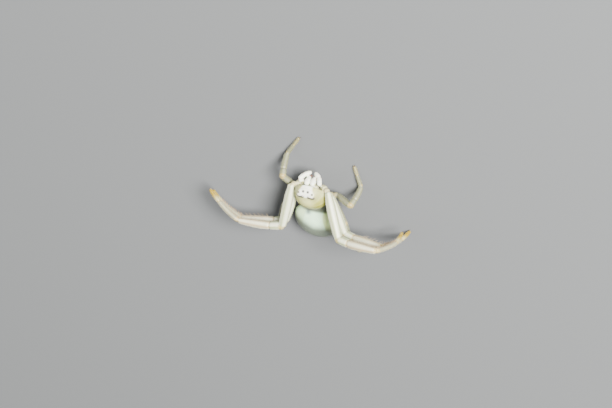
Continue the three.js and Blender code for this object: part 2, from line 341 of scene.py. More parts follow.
def leg_joints(leg):
    """The joints of a leg from hip to tip; the last segment of a standing leg drops just to the ground."""
    pair = PAIRS[leg["pair"]]
    sign = 1 if leg["side"] == "left" else -1
    stands = (leg["side"], leg["pair"]) in STANDING
    joints = [grounded(mirrored(pair["coxa"][1], sign))]
    for i, (turn, rise) in enumerate(leg["turns"]):
        length = pair["lengths"][i]
        if stands and i == len(leg["turns"]) - 1:
            rise = math.degrees(math.asin((FOOT_HEIGHT - joints[i][2]) / length))
        joints.append(joints[i] + length * heading(turn, rise))
    return np.array(joints)


def inner_side(joints, i):
    """The direction towards the inside of the leg's bend, square to segment i."""
    axis = unit(joints[i + 1] - joints[i])
    if i + 2 < len(joints):
        return across(unit(joints[i + 2] - joints[i + 1]), axis)
    return across(-unit(joints[i] - joints[i - 1]), axis)


# Every segment of a limb, with its leg or side, its ends and its thickness, for colours and setae.
SEGMENTS = []


def note_segment(leg, part, start, end, radius, **more):
    SEGMENTS.append({"leg": leg, "part": part, "start": start, "end": end, "radius": radius, **more})


def build_hip(soup, name, start, joints):
    """Coxa and trochanter, from beside the sternum to the root of the femur."""
    hip = joints[0]
    limb(soup, start, start + COXA_SHARE * (hip - start), COXA_RADII, sides=18, steps=16, cap=0.14)
    limb(soup, start + TROCHANTER_START * (hip - start), hip + 0.12 * unit(joints[1] - hip),
         TROCHANTER_RADII, sides=18, steps=14, cap=0.14)
    note_segment(name, "coxa", start, hip, COXA_RADII[1])


def build_thigh(soup, name, joints, radii, reach):
    """Femur and patella; gives back the patella's end."""
    hip, knee = joints[0], joints[1]
    femur_axis = unit(knee - hip)
    knee_axis = unit(KNEE_LIFT * femur_axis + unit(joints[2] - knee))
    patella_end = knee + reach * knee_axis
    dorsal = -inner_side(joints, 0)
    limb(soup, hip, knee + 0.16 * femur_axis, radii[0], bow=FEMUR_BOW * dorsal, flat=0.94, up=dorsal,
         cap=0.2)
    note_segment(name, "femur", hip, knee, max(radii[0]))
    width = radii[1][0]
    limb(soup, knee - 0.25 * knee_axis, patella_end + 0.06 * knee_axis,
         [width * 0.96, width * 1.06, width], flat=0.95, up=dorsal, steps=18, cap=0.2)
    note_segment(name, "patella", knee, patella_end, width)
    return patella_end


def build_tibia(soup, name, joints, radii, start):
    axis = unit(joints[2] - joints[1])
    inner = inner_side(joints, 1)
    bow = -TIBIA_BOW * inner
    limb(soup, start - 0.05 * axis, joints[2] + OVERLAP * axis, radii, bow=bow, flat=0.94, up=inner,
         cap=0.17)
    note_segment(name, "tibia", start, joints[2], max(radii), inner=inner, radii=radii, bow=bow)


def build_front_foot(soup, name, joints, radii):
    """Metatarsus and tarsus of pairs 1 and 2, each bowed."""
    ankle, heel, tip = joints[2:]
    axis = unit(heel - ankle)
    inner = inner_side(joints, 2)
    bow = -METATARSUS_BOW * inner
    limb(soup, ankle - OVERLAP * axis, heel + OVERLAP * axis, radii[2], bow=bow, flat=0.95, up=inner,
         sides=16, cap=0.12)
    note_segment(name, "metatarsus", ankle, heel, radii[2][0], inner=inner, radii=radii[2], bow=bow)
    inner = inner_side(joints, 3)
    limb(soup, heel - 0.02 * unit(tip - heel), tip, radii[3], bow=-TARSUS_BOW * inner, up=inner,
         sides=16, steps=20, cap=0.12)
    note_segment(name, "tarsus", heel, tip, radii[3][0], inner=inner)


def build_hind_foot(soup, name, joints, radii):
    """Metatarsus and tarsus of pairs 3 and 4, in one line."""
    ankle, tip = joints[2:]
    inner = inner_side(joints, 2)
    heel = ankle + HIND_METATARSUS_SHARE * (tip - ankle)
    limb(soup, ankle, heel, radii[2], up=inner, sides=16, steps=18, cap=0.1)
    limb(soup, heel - OVERLAP * unit(tip - heel), tip, radii[3], up=inner, sides=16, steps=16, cap=0.1)
    note_segment(name, "metatarsus", ankle, heel, HIND_FOOT_THICKNESS["metatarsus"], inner=inner)
    note_segment(name, "tarsus", heel, tip, HIND_FOOT_THICKNESS["tarsus"], inner=inner)


def build_leg(soup, leg):
    pair = PAIRS[leg["pair"]]
    sign = 1 if leg["side"] == "left" else -1
    name = f"{leg['side']}_{leg['pair']}"
    joints = leg_joints(leg)
    radii = pair["radii"]
    build_hip(soup, name, grounded(mirrored(pair["coxa"][0], sign)), joints)
    patella_end = build_thigh(soup, name, joints, radii, pair["patella"])
    build_tibia(soup, name, joints, radii[1], patella_end)
    build_foot = build_front_foot if leg["pair"] < 3 else build_hind_foot
    build_foot(soup, name, joints, radii)


# Mouthparts.
CHELICERA = {"side": 0.33, "forward": -1.52, "top": 0.2, "bottom": -0.92, "inward": 0.06, "lean": 0.16}
CHELICERA_RADII = [0.22, 0.29, 0.29, 0.21, 0.12]
PALP_JOINTS = [(0.84, -1.2, -0.42), (1.08, -1.9, -0.16), (0.78, -2.0, -0.7), (0.17, -2.02, -1.22)]
PALP_SEGMENTS = [
    {"part": "palp_femur", "radii": [0.18, 0.25, 0.24], "bow": (0, 0, 0.05), "overlap": 0, "steps": 18},
    {"part": "palp_tibia", "radii": [0.23, 0.25, 0.24], "bow": (0, 0, 0), "overlap": 0.1, "steps": 16},
    {"part": "palp_tarsus", "radii": [0.22, 0.25, 0.22, 0.12], "bow": (0, 0, 0), "overlap": 0.1, "steps": 18},
]


def build_chelicera(soup, side, sign):
    jaw = CHELICERA
    root = grounded((sign * jaw["side"], jaw["forward"], jaw["top"]))
    tip = grounded((sign * (jaw["side"] - jaw["inward"]), jaw["forward"] - jaw["lean"], jaw["bottom"]))
    limb(soup, root, tip, CHELICERA_RADII, bow=(0, -0.06, 0), flat=1.05, up=(0, -1, 0), cap=0.16)
    note_segment(side, "chelicera", root, tip, 0.28)


def build_palp(soup, side, sign):
    joints = [grounded(mirrored(p, sign)) for p in PALP_JOINTS]
    for start, end, palp in zip(joints, joints[1:], PALP_SEGMENTS):
        limb(soup, start - palp["overlap"] * unit(end - start), end, palp["radii"], bow=palp["bow"],
             steps=palp["steps"], sides=16)
        note_segment(side, palp["part"], start, end, 0.2)


def build_mouthparts(soup):
    for side, sign in (("left", 1), ("right", -1)):
        build_chelicera(soup, side, sign)
        build_palp(soup, side, sign)
        maxilla = grounded((sign * 0.36, -1.05, -0.72))
        limb(soup, maxilla, grounded((sign * 0.2, -1.35, -0.95)), [0.2, 0.24, 0.14], steps=12, sides=14)
    labium = grounded((0, -0.85, -0.78))
    limb(soup, labium, grounded((0, -1.15, -0.86)), [0.22, 0.2, 0.12], steps=12, sides=14)


SPINNERET_HEIGHT = 0.78
SPINNERET_SIDE = 0.12
SPINNERET_LIFTS = (0.09, -0.1)
SPINNERET_LENGTH = 0.58


def build_spinnerets(soup):
    drop = (ABDOMEN_MIDDLE[2] - SPINNERET_HEIGHT) / ABDOMEN_HALF_HEIGHT
    rim = ABDOMEN_REAR * math.sqrt(1 - drop ** 2)
    root = np.array([0, ABDOMEN_MIDDLE[1] + rim + 0.02, SPINNERET_HEIGHT])
    limb(soup, root - (0, 0.25, 0), root + (0, 0.16, 0), [0.3, 0.3, 0.26], steps=12, sides=16)
    for lift in SPINNERET_LIFTS:
        for side in (SPINNERET_SIDE, -SPINNERET_SIDE):
            start = root + (side, 0, lift)
            end = start + (side * 0.5, SPINNERET_LENGTH, lift * 0.4 - 0.05)
            limb(soup, start, end, [0.13, 0.13, 0.11, 0.05], steps=14, sides=14, cap=0.06)
    note_segment("", "spinnerets", root, root + (0, 0.6, 0), 0.25)


# The sternum: half its width, its length and its thickness, where its middle lies, how much it narrows.
STERNUM = {"size": (0.72, 1.02, 0.5), "back": 0.02, "drop": 0.5, "taper": 0.18}


def build_core(soup):
    points, faces = ball(48, 72)
    soup.add(grounded(carapace_points(points)), faces)
    soup.add(abdomen_points(points), faces)
    core, faces = ball(20, 28)
    sternum = core * STERNUM["size"]
    sternum[:, 0] *= 1 - STERNUM["taper"] * core[:, 1]
    sternum += (0, STERNUM["back"], -STERNUM["drop"])
    soup.add(grounded(sternum), faces)
    front = grounded((0, 1.0, -0.35))
    back = ABDOMEN_MIDDLE + (0, -ABDOMEN_FRONT + 0.25, 0.3)
    limb(soup, front, back, [0.3, 0.2, 0.2, 0.3], steps=14)
    note_segment("", "pedicel", front, back, 0.2)


# One skin from all forms of flesh.
SKIN_SMOOTHING = 6


def fuse(soup, voxel, smoothing):
    """The points, normals and faces of one even surface round all forms of the soup."""
    points, faces = soup.arrays()
    mesh = bpy.data.meshes.new("fusing")
    mesh.from_pydata([tuple(p) for p in points], [], faces)
    mesh.update()
    work = bpy.data.objects.new("fusing", mesh)
    bpy.context.scene.collection.objects.link(work)
    remesh = work.modifiers.new("Remesh", "REMESH")
    remesh.mode = "VOXEL"
    remesh.voxel_size = voxel
    soften = work.modifiers.new("Smooth", "SMOOTH")
    soften.factor = 0.5
    soften.iterations = smoothing
    evaluated = work.evaluated_get(bpy.context.evaluated_depsgraph_get())
    fused = evaluated.to_mesh()
    coords = np.empty(len(fused.vertices) * 3)
    fused.vertices.foreach_get("co", coords)
    faces = [tuple(p.vertices) for p in fused.polygons]
    normals = np.empty(len(fused.vertices) * 3)
    fused.vertices.foreach_get("normal", normals)
    evaluated.to_mesh_clear()
    bpy.data.objects.remove(work)
    return coords.reshape(-1, 3), normals.reshape(-1, 3), faces


soup = Soup()
build_core(soup)
build_mouthparts(soup)
build_spinnerets(soup)
for leg in LEGS:
    build_leg(soup, leg)
skin_points, skin_normals, skin_faces = fuse(soup, VOXEL, SKIN_SMOOTHING)
# Nothing of the skin lies below the ground.
skin_points[:, 2] = np.maximum(skin_points[:, 2], 0)

# Surface regions: the segments by their number in SEGMENTS, and after them the carapace and the abdomen.
CARAPACE_REGION = len(SEGMENTS)
ABDOMEN_REGION = len(SEGMENTS) + 1
# Shell distances are counted in parts of a radius; these radii bring them to millimetres.
CARAPACE_REACH = 1.6
ABDOMEN_REACH = 1.3
CARAPACE_UNDERSIDE = -0.16


def locate(points):
    """The region of every point, how far along its segment it lies and where round it."""
    best = np.full(len(points), 1e9)
    region = np.zeros(len(points), int)
    along = np.zeros(len(points))
    angle = np.zeros(len(points))
    for k, seg in enumerate(SEGMENTS):
        line = seg["end"] - seg["start"]
        length = np.linalg.norm(line)
        axis = line / length
        rel = points - seg["start"]
        t = np.clip(rel @ axis / length, 0, 1)
        off = rel - t[:, None] * line
        gap = np.linalg.norm(off, axis=1) - seg["radius"]
        hit = gap < best
        side = across(np.array([0, 0, 1.0]) if abs(axis[2]) < 0.9 else np.array([0, 1.0, 0]), axis)
        other = np.cross(axis, side)
        turn = np.arctan2(off @ other, off @ side) / (2 * math.pi) + 0.5
        best[hit], region[hit], along[hit], angle[hit] = gap[hit], k, t[hit], turn[hit]
    local = in_body(points)
    shell = np.linalg.norm(local / (CARAPACE_HALF_WIDTH, CARAPACE_HALF_LENGTH, CARAPACE_HEIGHT * 1.1), axis=1)
    gap = (shell - 1) * CARAPACE_REACH
    hit = (gap < best) & (local[:, 2] > CARAPACE_UNDERSIDE)
    best[hit], region[hit] = gap[hit], CARAPACE_REGION
    egg = (points - ABDOMEN_MIDDLE) / (ABDOMEN_HALF_WIDTH, 1, ABDOMEN_HALF_HEIGHT)
    egg[:, 1] /= np.where(egg[:, 1] < 0, ABDOMEN_FRONT, ABDOMEN_REAR)
    gap = (np.linalg.norm(egg, axis=1) - 1) * ABDOMEN_REACH
    region[gap < best] = ABDOMEN_REGION
    return region, along, angle


# Colours, as screen values.
LEG_WHITE = linear(204, 207, 174)
LEG_SHADE = linear(142, 150, 104)
LEG_EDGE = linear(232, 232, 212)
LEG_BLUSH = linear(196, 152, 128)
LEG_THIN = linear(106, 105, 76)
CARAPACE_TAN = linear(140, 138, 44)
CARAPACE_CREAM = linear(196, 196, 134)
FACE_WHITE = linear(250, 251, 236)
EYE_LINE = linear(46, 46, 34)
ABDOMEN_PEARL = linear(200, 232, 198)
ABDOMEN_FLANK = linear(174, 184, 106)
# Painted shadow in the groove under the carapace's rear edge.
GROOVE_PAINTED_SHADOW = linear(84, 84, 72)
# Painted shade for the abdomen's underside and rear.
ABDOMEN_PAINTED_SHADE = linear(70, 68, 64)
HEART_GREY = linear(80, 90, 98)
TIP_YELLOW = linear(150, 124, 2)
JOINT_TAN = linear(176, 154, 92)
FANG_BROWN = linear(150, 78, 30)

LEG_STRIPES = 4
FACE_RIBS = 7
LINE_HALF_WIDTH = 0.13
RIM_REACH = 1.6
# On the abdomen: how far left the mark over the heart lies, and the place of the spots behind.
HEART_SIDE = 0.65
SPOT_PLACE = (1.5, 1.05)


def blend(base, other, weight):
    """The base colours brought towards the other colour by a weight for all or one for each."""
    w = (np.clip(weight, 0, 1) * np.ones(len(base)))[:, None]
    return base * (1 - w) + other * w


def paint_limb(seg, t, turn):
    """Colours along one segment: t runs from its root to its tip, turn goes once round it."""
    part = seg["part"]
    tone = np.tile(LEG_WHITE, (len(t), 1))
    stripes = 0.5 + 0.5 * np.cos(2 * math.pi * turn * LEG_STRIPES)
    if part in ("femur", "tibia", "patella"):
        tone = blend(tone, LEG_SHADE, 0.75 * stripes ** 3)
        tone = blend(tone, LEG_EDGE, 0.6 * (1 - stripes) ** 2)
    if part in ("tibia", "metatarsus") and seg["leg"][-1] in "12":
        tone = blend(tone, LEG_BLUSH, 0.35 * stripes ** 2 + 0.12)
    if seg["leg"][-1:] in ("3", "4"):
        tone = blend(tone, LEG_THIN, 0.8)
    if part == "metatarsus":
        tone = blend(tone, LEG_THIN, 0.6)
    if part == "tarsus":
        strong = 1.0 if seg["leg"][-1] in "12" else 0.3
        tone = blend(tone, TIP_YELLOW, strong * (0.45 + 0.55 * smooth(t, 0.05, 0.6)))
    if part in ("femur", "tibia", "metatarsus"):
        tone = blend(tone, JOINT_TAN, 0.7 * smooth(t, 0.95, 1.0) + 0.5 * (1 - smooth(t, 0.0, 0.03)))
    if part in ("coxa", "pedicel", "spinnerets"):
        tone = blend(tone, JOINT_TAN, 0.35)
    if part in ("chelicera", "palp_femur", "palp_tibia", "palp_tarsus"):
        tone = blend(tone, FACE_WHITE, 0.85)
    if part == "palp_tarsus":
        tone = blend(tone, JOINT_TAN, 0.7 * smooth(t, 0.85, 1.0))
    if part == "chelicera":
        tone = blend(tone, FANG_BROWN, 0.7 * smooth(t, 0.84, 0.98))
    return tone


def paint_carapace(p):
    """Tan sides and rear, a white face between the eyes and the jaws, a dark line along the rear eyes."""
    beside = np.abs(p[:, 0])
    tone = np.tile(CARAPACE_CREAM, (len(p), 1))
    sides = smooth(beside, 0.3, 1.15)
    tone = blend(tone, CARAPACE_TAN, 0.75 * sides + 0.75 * smooth(p[:, 1], -0.4, 1.2))
    ribs = np.cos(FACE_RIBS * np.arctan2(p[:, 0], -(p[:, 1] - 0.4))) ** 6
    tone = blend(tone, CARAPACE_CREAM, 0.3 * ribs * smooth(beside, 0.4, 0.9))
    cheek = smooth(-p[:, 1], 0.3, 0.9) * smooth(beside, 0.6, 0.9)
    tone = blend(tone, FACE_WHITE, 0.14 * cheek)
    face_width = 0.48 + 0.2 * smooth(p[:, 2], 0.5, 1.1) - 0.08 * smooth(-p[:, 1], 1.2, 1.6)
    face = smooth(-p[:, 1], 0.86, 1.04) * (1 - smooth(beside, face_width, face_width + 0.3))
    tone = blend(tone, FACE_WHITE, face)
    nearest_line = np.abs(p[:, 1] + 1.0 - 0.12 * beside)
    line = np.exp(-(nearest_line / LINE_HALF_WIDTH) ** 4)
    line = line * smooth(beside, 0.14, 0.24) * (1 - smooth(beside, 0.84, 0.98))
    tone = blend(tone, EYE_LINE, line * (p[:, 2] > 0.6))
    for eye in EYES.values():
        seat = np.stack([np.sign(p[:, 0]) * eye["side"], np.full(len(p), eye["forward"]),
                         np.full(len(p), eye["up"])], -1)
        near = np.linalg.norm(p - seat, axis=1) / (RIM_REACH * eye["radius"])
        tone = blend(tone, EYE_LINE, eye["rim"] * np.exp(-near ** 4))
    return tone


def paint_abdomen(p):
    """Pearl above, with painted shade that greys it behind and below and a painted shadow in the groove under
    the carapace; the mark over the heart lies a little to the left.
    """
    tone = np.tile(ABDOMEN_PEARL, (len(p), 1))
    edge = 0.85 + 0.45 * smooth(p[:, 1], -1.2, 1.2)
    flank = smooth(np.abs(p[:, 0]), edge, edge + 0.2)
    tone = blend(tone, ABDOMEN_FLANK, np.where(p[:, 0] < 0, 0.7, 0.3) * flank)
    # Painted shade: darker below the middle and towards the rear, reaching further forward on the left side.
    rearward = p[:, 1] + 0.15 * p[:, 0] + 0.25 * np.abs(p[:, 0])
    tone = blend(tone, ABDOMEN_PAINTED_SHADE, smooth(-p[:, 2], 0.0, 0.8) + 0.88 * smooth(rearward, -0.15, 0.85))
    for side in (-1, 1):
        beside, behind = p[:, 0] - side * SPOT_PLACE[0], p[:, 1] - SPOT_PLACE[1]
        spot = np.exp(-(beside / 0.3) ** 2 - (behind / 0.35) ** 2)
        tone = blend(tone, HEART_GREY, 0.4 * spot)
    heart = np.exp(-((p[:, 0] - HEART_SIDE) / 0.32) ** 2) * smooth(-p[:, 1], 0.8, 1.15)
    heart *= smooth(p[:, 2], 0.1, 0.5)
    tone = blend(tone, HEART_GREY, 0.85 * heart)
    # Painted shadow: the abdomen's front face, in the groove under the carapace's rear edge, darkened.
    return blend(tone, GROOVE_PAINTED_SHADOW, 0.9 * smooth(-p[:, 1], 1.14, 1.34))


def paint(points):
    """The colour of the skin at every point."""
    region, along, angle = locate(points)
    colour = np.tile(LEG_WHITE, (len(points), 1))
    for k, seg in enumerate(SEGMENTS):
        on = region == k
        if on.any():
            colour[on] = paint_limb(seg, along[on], angle[on])
    on = region == CARAPACE_REGION
    colour[on] = paint_carapace(in_body(points[on]))
    on = region == ABDOMEN_REGION
    colour[on] = paint_abdomen(points[on] - ABDOMEN_MIDDLE)
    return colour


def add_colours(piece, colours):
    layer = piece.data.color_attributes.new("markings", "FLOAT_COLOR", "POINT")
    rgba = np.ones((len(piece.data.vertices), 4))
    rgba[:, :3] = colours
    layer.data.foreach_set("color", rgba.ravel())


# Materials.

def node_material(name):
    material = bpy.data.materials.new(name)
    material.use_nodes = True
    tree = material.node_tree
    shader = next(n for n in tree.nodes if n.type == "BSDF_PRINCIPLED")
    return material, tree, shader


def mm_coordinates(tree):
    where = tree.nodes.new("ShaderNodeTexCoord")
    scale = tree.nodes.new("ShaderNodeMapping")
    scale.inputs["Scale"].default_value = (1 / MM, 1 / MM, 1 / MM)
    tree.links.new(where.outputs["Object"], scale.inputs["Vector"])
    return scale.outputs["Vector"]


def noise(tree, coordinates, scale, detail):
    node = tree.nodes.new("ShaderNodeTexNoise")
    node.inputs["Scale"].default_value = scale
    node.inputs["Detail"].default_value = detail
    tree.links.new(coordinates, node.inputs["Vector"])
    return node.outputs["Fac"]


def skin_material():
    material, tree, shader = node_material("Spider_skin")
    place = mm_coordinates(tree)
    marks = tree.nodes.new("ShaderNodeAttribute")
    marks.attribute_name = "markings"
    mottle = noise(tree, place, 2.4, 4)
    spread = tree.nodes.new("ShaderNodeMapRange")
    spread.inputs["To Min"].default_value = 0.88
    spread.inputs["To Max"].default_value = 1.06
    tree.links.new(mottle, spread.inputs["Value"])
    tint = tree.nodes.new("ShaderNodeVectorMath")
    tint.operation = "SCALE"
    tree.links.new(marks.outputs["Color"], tint.inputs[0])
    tree.links.new(spread.outputs["Result"], tint.inputs["Scale"])
    tree.links.new(tint.outputs["Vector"], shader.inputs["Base Color"])
    fine = noise(tree, place, 22, 3)
    bump = tree.nodes.new("ShaderNodeBump")
    bump.inputs["Strength"].default_value = 0.4
    bump.inputs["Distance"].default_value = 0.02 * MM
    tree.links.new(fine, bump.inputs["Height"])
    tree.links.new(bump.outputs["Normal"], shader.inputs["Normal"])
    rough = tree.nodes.new("ShaderNodeMapRange")
    rough.inputs["To Min"].default_value = 0.3
    rough.inputs["To Max"].default_value = 0.46
    tree.links.new(fine, rough.inputs["Value"])
    tree.links.new(rough.outputs["Result"], shader.inputs["Roughness"])
    shader.inputs["Subsurface Weight"].default_value = 0.22
    shader.inputs["Subsurface Radius"].default_value = (1.0, 0.75, 0.5)
    shader.inputs["Subsurface Scale"].default_value = 0.25 * MM
    shader.inputs["Specular IOR Level"].default_value = 0.5
    return material


def plain_material(name, colour, roughness, coat=0.0):
    """One colour, a little cloudy, with an optional clear coat."""
    material, tree, shader = node_material(name)
    place = mm_coordinates(tree)
    cloud = noise(tree, place, 14, 2)
    ramp = tree.nodes.new("ShaderNodeMix")
    ramp.data_type = "RGBA"
    ramp.inputs["A"].default_value = (*(colour * 0.75), 1)
    ramp.inputs["B"].default_value = (*np.minimum(colour * 1.2, 1), 1)
    tree.links.new(cloud, ramp.inputs["Factor"])
    tree.links.new(ramp.outputs["Result"], shader.inputs["Base Color"])
    shader.inputs["Roughness"].default_value = roughness
    shader.inputs["Coat Weight"].default_value = coat
    return material


SKIN_NODES = [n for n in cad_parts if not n.startswith("eye_")]
skin = new_object("spider_skin", skin_points, skin_faces)
skin.data.materials.append(skin_material())
add_colours(skin, paint(skin_points))
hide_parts(*SKIN_NODES)

# Eyes: a lens in each seat of the construction, dark in the front inner pair and pale in the others.
dark_eye = plain_material("Spider_eye_dark", linear(34, 30, 28), 0.08, 1.0)
pale_eye = plain_material("Spider_eye_pale", linear(112, 108, 90), 0.12, 1.0)


def build_eyes():
    for row, eye in EYES.items():
        for side in ("left", "right"):
            low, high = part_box(f"eye_{row}_{side}")
            middle = (np.array(low + high) / 2 - SHIFT) / MM
            points, faces = ball(16, 24)
            lens = new_object(f"lens_{row}_{side}", points * eye["radius"] + middle, faces)
            lens.data.materials.append(dark_eye if row == "front_inner" else pale_eye)
            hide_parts(f"eye_{row}_{side}")


build_eyes()

# Setae: closed tapered cones rooted in the skin. Each carries the skin's colour at its root, and its
# UV patch lies at the root's place on the unwrapped skin.
UV_PATCH = 0.003
UV_COLUMNS = 12
UV_ROWS = 6
UNWRAP_LOWEST = -1.5
UNWRAP_HEIGHT = 3.2
FLOOR_CLEARANCE = 0.02


def unwrap(points):
    """Limb segments unrolled side by side in the lower half, the carapace and the abdomen above them."""
    region, along, angle = locate(points)
    place = np.stack([
        (region % UV_COLUMNS + 0.05 + 0.9 * along) / UV_COLUMNS,
        0.5 * (region // UV_COLUMNS + 0.05 + 0.9 * angle) / UV_ROWS,
    ], -1)
    for body, local in ((0, in_body(points)), (1, points - ABDOMEN_MIDDLE)):
        on = region == CARAPACE_REGION + body
        around = np.arctan2(local[on, 0], local[on, 1]) / (2 * math.pi) + 0.5
        height = np.clip((local[on, 2] - UNWRAP_LOWEST) / UNWRAP_HEIGHT, 0, 1)
        place[on] = np.stack([0.5 * (body + 0.03 + 0.94 * around), 0.53 + 0.45 * height], -1)
    return place


def grow(name, material, roots, directions, bends, lengths, radii, sides=3, steps=2):
    """Many hairs as one mesh; a hair leans along its direction and curves towards its bend."""
    along = unit(directions)
    upright = np.where(np.abs(along[:, 2:]) < 0.9, [[0, 0, 1.0]], [[0, 1.0, 0]])
    side = unit(np.cross(along, upright))
    top = np.cross(along, side)
    turn = 2 * math.pi * np.arange(sides) / sides
    circle = np.cos(turn)[:, None] * side[:, None] + np.sin(turn)[:, None] * top[:, None]
    reach = lengths[:, None]
    place = unwrap(roots)
    rows, patches = [], []
    for j in range(steps):
        t = j / steps
        centre = roots + along * reach * t + bends * reach * t * t
        rows.append(centre[:, None] + (radii * (1 - 0.75 * t))[:, None, None] * circle)
        patches += [place + UV_PATCH * np.array([t - 0.5, k / sides - 0.5]) for k in range(sides)]
    rows.append((roots + along * reach + bends * reach)[:, None])
    patches.append(place + UV_PATCH * np.array([0.5, 0]))
    points = np.concatenate(rows, axis=1)
    size = points.shape[1]
    pattern = [tuple(reversed(range(sides)))]
    for k in range(sides):
        n = (k + 1) % sides
        for j in range(steps - 1):
            a, b = j * sides, (j + 1) * sides
            pattern.append((a + k, a + n, b + n, b + k))
        pattern.append(((steps - 1) * sides + k, (steps - 1) * sides + n, size - 1))
    faces = [tuple(h * size + i for i in face) for h in range(len(roots)) for face in pattern]
    piece = new_object(name, points.reshape(-1, 3), faces)
    piece.data.materials.append(material)
    add_colours(piece, np.repeat(paint(roots), size, axis=0))
    layer = piece.data.uv_layers.new(name="OFBake")
    corner = np.empty(len(piece.data.loops), int)
    piece.data.loops.foreach_get("vertex_index", corner)
    uv = np.stack(patches, axis=1).reshape(-1, 2)
    layer.data.foreach_set("uv", uv[corner].ravel())
    return piece


# Hairs: how much their directions differ, how deep they are rooted and how far they bend down again.
HAIR_JITTER = 0.18
HAIR_SUNK = 0.012
HAIR_BEND = 0.25


def scatter(where, count):
    """Skin points picked at random from the given ones; the skin's points are evenly spaced."""
    return rng.choice(where, min(int(count * FUZZ_SHARE), len(where)), replace=False)


def fuzz(name, material, picked, heading_to, stand, lengths, radius):
    """Fine hairs on the picked skin points; stand is how far they rise from the skin."""
    count = len(picked)
    normals = skin_normals[picked]
    jitter = rng.normal(0, HAIR_JITTER, (count, 3))
    directions = unit(normals * stand + heading_to * (1 - stand) + jitter)
    reach = rng.uniform(*lengths, count)
    thick = radius * rng.uniform(0.8, 1.2, count)
    roots = skin_points[picked] - HAIR_SUNK * normals
    bends = HAIR_BEND * (heading_to - directions)
    clear = (roots + directions * reach[:, None] + bends * reach[:, None])[:, 2] > FLOOR_CLEARANCE
    clear &= roots[:, 2] > FLOOR_CLEARANCE
    return grow(name, material, roots[clear], directions[clear], bends[clear], reach[clear],
                thick[clear])


LEG_PARTS = ("coxa", "femur", "patella", "tibia", "metatarsus", "tarsus")
MOUTH_PARTS = ("chelicera", "palp_femur", "palp_tibia", "palp_tarsus")
# The coats: where each grows, how many hairs it has, how far they stand up, how long and thick they are.
COATS = [
    {"name": "fuzz_legs", "slot": "leg", "parts": LEG_PARTS, "count": 9000, "stand": 0.45,
     "lengths": (0.08, 0.17), "radius": 0.0065},
    {"name": "fuzz_feet", "slot": "leg", "parts": ("tarsus", "metatarsus"), "count": 3600, "stand": 0.5,
     "lengths": (0.1, 0.19), "radius": 0.007},
    {"name": "fuzz_mouth", "slot": "mouthparts", "parts": MOUTH_PARTS, "count": 520, "stand": 0.5,
     "lengths": (0.07, 0.15), "radius": 0.005},
    {"name": "fuzz_carapace", "slot": "carapace", "parts": ("carapace",), "count": 260, "stand": 0.9,
     "lengths": (0.08, 0.2), "radius": 0.008},
    {"name": "fuzz_abdomen", "slot": "abdomen", "parts": ("abdomen", "spinnerets"), "count": 1800,
     "stand": 0.5, "lengths": (0.06, 0.13), "radius": 0.006},
]
# Which way the hairs of the carapace and of the abdomen lie.
BODY_LIE = [(0, 0.6, 0), (0, 0.8, 0)]


def add_fuzz(material):
    region = locate(skin_points)[0]
    axes = np.array([unit(seg["end"] - seg["start"]) for seg in SEGMENTS] + BODY_LIE)[region]
    parts = np.array([seg["part"] for seg in SEGMENTS] + ["carapace", "abdomen"])[region]
    everywhere = np.arange(len(skin_points))
    for coat in COATS:
        picked = scatter(everywhere[np.isin(parts, coat["parts"])], coat["count"])
        fuzz(coat["name"], material, picked, axes[picked], coat["stand"], coat["lengths"],
             coat["radius"])


# Spines: two rows of strong setae under the tibia and the metatarsus of the front pairs.
SPINE_ROWS = {
    "tibia": {"count": 7, "first": 0.2, "last": 0.95, "length": 0.4, "radius": 0.03},
    "metatarsus": {"count": 9, "first": 0.07, "last": 0.92, "length": 0.34, "radius": 0.028},
}
SPINE_SPREAD = 0.62
SPINE_LEAN = 0.75
SPINE_CURL = 0.16
SPINE_SUNK = 0.07


def add_spines(material):
    roots, directions, bends, lengths, radii = [], [], [], [], []
    for seg in SEGMENTS:
        if "radii" not in seg or seg["leg"][-1] not in "12":
            continue
        row = SPINE_ROWS[seg["part"]]
        axis = unit(seg["end"] - seg["start"])
        aside = np.cross(axis, seg["inner"])
        for t in np.linspace(row["first"], row["last"], row["count"]):
            for sign in (-1, 1):
                place = t + rng.uniform(-0.012, 0.012)
                out = unit(seg["inner"] + sign * SPINE_SPREAD * rng.uniform(0.85, 1.15) * aside)
                centre = seg["start"] + place * (seg["end"] - seg["start"])
                centre = centre + 4 * place * (1 - place) * seg["bow"]
                thick = np.interp(place, np.linspace(0, 1, len(seg["radii"])), seg["radii"])
                roots.append(centre + out * (0.93 * thick - SPINE_SUNK))
                directions.append(unit(out + SPINE_LEAN * rng.uniform(0.8, 1.2) * axis))
                bends.append(SPINE_CURL * axis)
                lengths.append(SPINE_SUNK + row["length"] * rng.uniform(0.85, 1.15))
                radii.append(row["radius"])
    grow("spines", material, np.array(roots), np.array(directions), np.array(bends),
         np.array(lengths), np.array(radii), sides=6, steps=5)


# Claws: a pair of dark hooks on every foot. Fangs: one under each jaw.
CLAW_LENGTH = 0.2
CLAW_RADIUS = 0.034
CLAW_SPREAD = 0.06
LOW_FOOT = 1
FANG_LENGTH = 0.26
FANG_RADIUS = 0.06


def hook(soup, root, axis, curl, length, radius):
    """A curved, pointed cone that starts along the axis and curls towards curl."""
    t = np.linspace(0, 1, 9)
    turn = 1.3 * t
    centres = root + length * (np.sin(turn)[:, None] * axis + (1 - np.cos(turn))[:, None] * curl)
    soup.add(*rings(centres, radius * np.maximum(1 - t, 0.06), 10, up=np.cross(axis, curl)))


